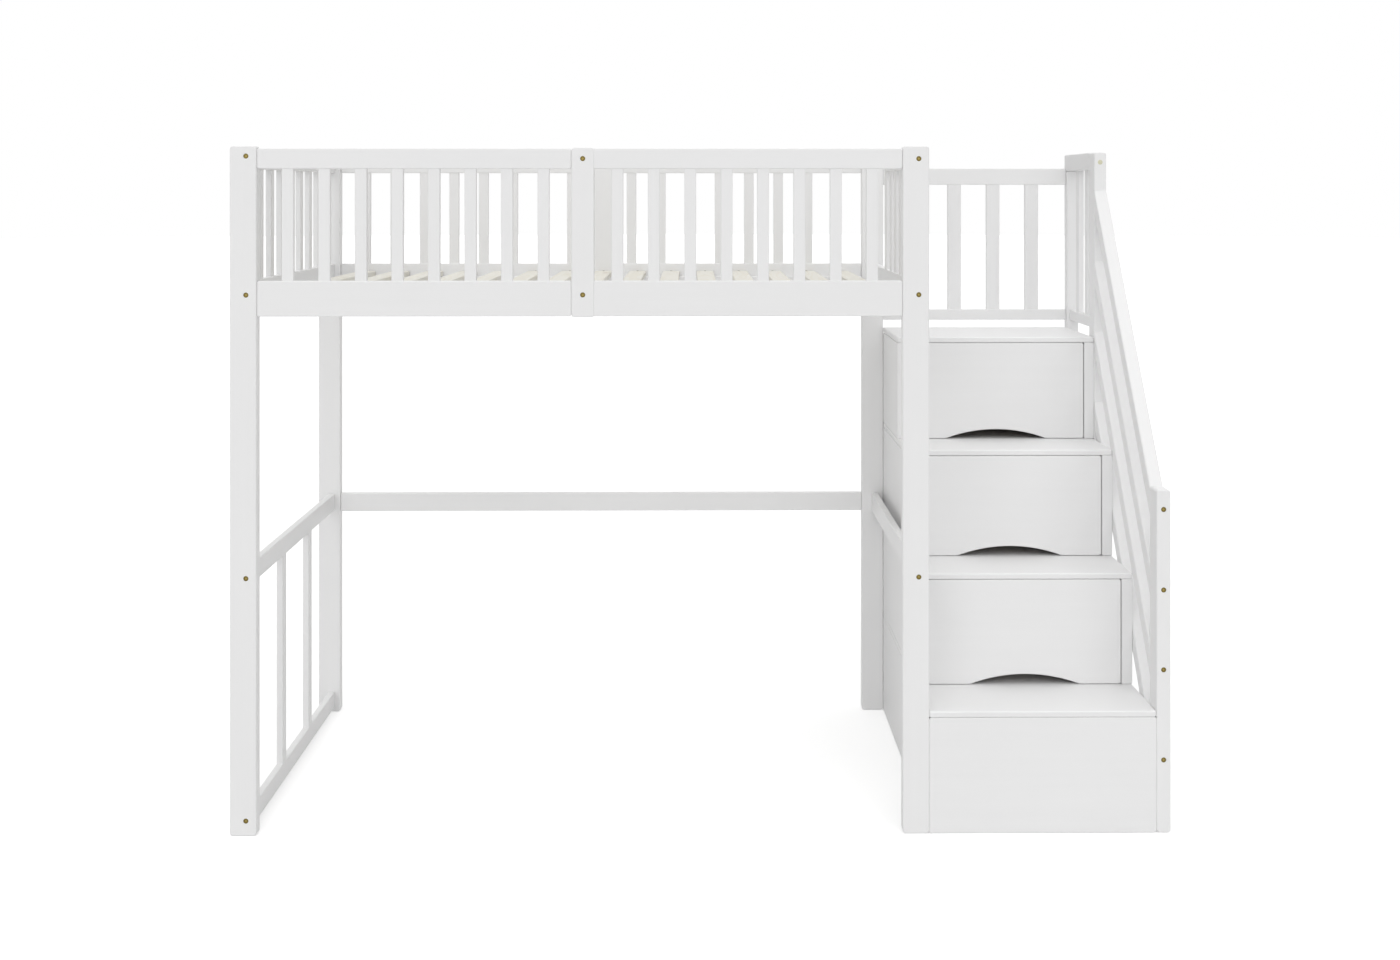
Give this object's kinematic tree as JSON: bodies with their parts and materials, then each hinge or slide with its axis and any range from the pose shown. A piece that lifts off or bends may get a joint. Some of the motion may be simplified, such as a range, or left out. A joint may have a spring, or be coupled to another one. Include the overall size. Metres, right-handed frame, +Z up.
{
  "type": "loft bed with storage stair",
  "caption": "Painted timber loft bed with slatted base, guard rails and a cabinet stair at the right end whose upper steps hold drawers that slide out.",
  "frame": {"origin": "on the floor under the centre of the bounding box", "axes": "+X along the bed towards the stair, +Y from the front, where the drawers pull out, to the rear, +Z up"},
  "size_m": [2.7006, 1.066, 1.975],
  "materials": {
    "painted_wood": "white paint, satin",
    "raw_pine": "planed pine, not painted",
    "tray_wood": "planed board, clear lacquer",
    "bolt_brass": "brass-plated steel, satin"
  },
  "bodies": {
    "frame": {"post_front_left": "painted_wood", "post_front_right": "painted_wood", "post_rear_left": "painted_wood", "post_rear_right": "painted_wood", "guard_front_left": "painted_wood", "guard_front_right": "painted_wood", "guard_rear_left": "painted_wood", "guard_rear_right": "painted_wood", "guard_left_end": "painted_wood", "guard_right_end": "painted_wood", "panel_left_end": "painted_wood", "stretcher_right_end": "painted_wood", "stretcher_rear": "painted_wood", "base_cleat_front": "painted_wood", "base_cleat_rear": "painted_wood", "base_slat_01": "raw_pine", "base_slat_02": "raw_pine", "base_slat_03": "raw_pine", "base_slat_04": "raw_pine", "base_slat_05": "raw_pine", "base_slat_06": "raw_pine", "base_slat_07": "raw_pine", "base_slat_08": "raw_pine", "base_slat_09": "raw_pine", "base_slat_10": "raw_pine", "base_slat_11": "raw_pine", "base_slat_12": "raw_pine", "base_slat_13": "raw_pine", "base_slat_14": "raw_pine", "base_slat_15": "raw_pine", "step_1_side_left": "painted_wood", "step_1_side_right": "painted_wood", "step_1_tread": "painted_wood", "step_1_riser": "painted_wood", "step_2_side_left": "painted_wood", "step_2_side_right": "painted_wood", "step_2_tread": "painted_wood", "step_3_side_left": "painted_wood", "step_3_side_right": "painted_wood", "step_3_tread": "painted_wood", "step_4_side_left": "painted_wood", "step_4_side_right": "painted_wood", "step_4_tread": "painted_wood", "cabinet_back": "painted_wood", "newel": "painted_wood", "post_stair_middle": "painted_wood", "post_stair_rear": "painted_wood", "sloping_bar_1": "painted_wood", "sloping_bar_2": "painted_wood", "sloping_bar_3": "painted_wood", "sloping_bar_4": "painted_wood", "guard_landing_side": "painted_wood", "guard_landing_rear": "painted_wood"},
    "drawer_2": {"drawer_2_front": "painted_wood", "drawer_2_tray": "tray_wood"},
    "drawer_3": {"drawer_3_front": "painted_wood", "drawer_3_tray": "tray_wood"},
    "drawer_4": {"drawer_4_front": "painted_wood", "drawer_4_tray": "tray_wood"}
  },
  "joints": [
    {"name": "drawer_2_slide", "type": "slide", "parent": "frame", "child": "drawer_2", "axis": [0, -1, 0], "range_m": [0, 0.56]},
    {"name": "drawer_3_slide", "type": "slide", "parent": "frame", "child": "drawer_3", "axis": [0, -1, 0], "range_m": [0, 0.4]},
    {"name": "drawer_4_slide", "type": "slide", "parent": "frame", "child": "drawer_4", "axis": [0, -1, 0], "range_m": [0, 0.24]}
  ]
}
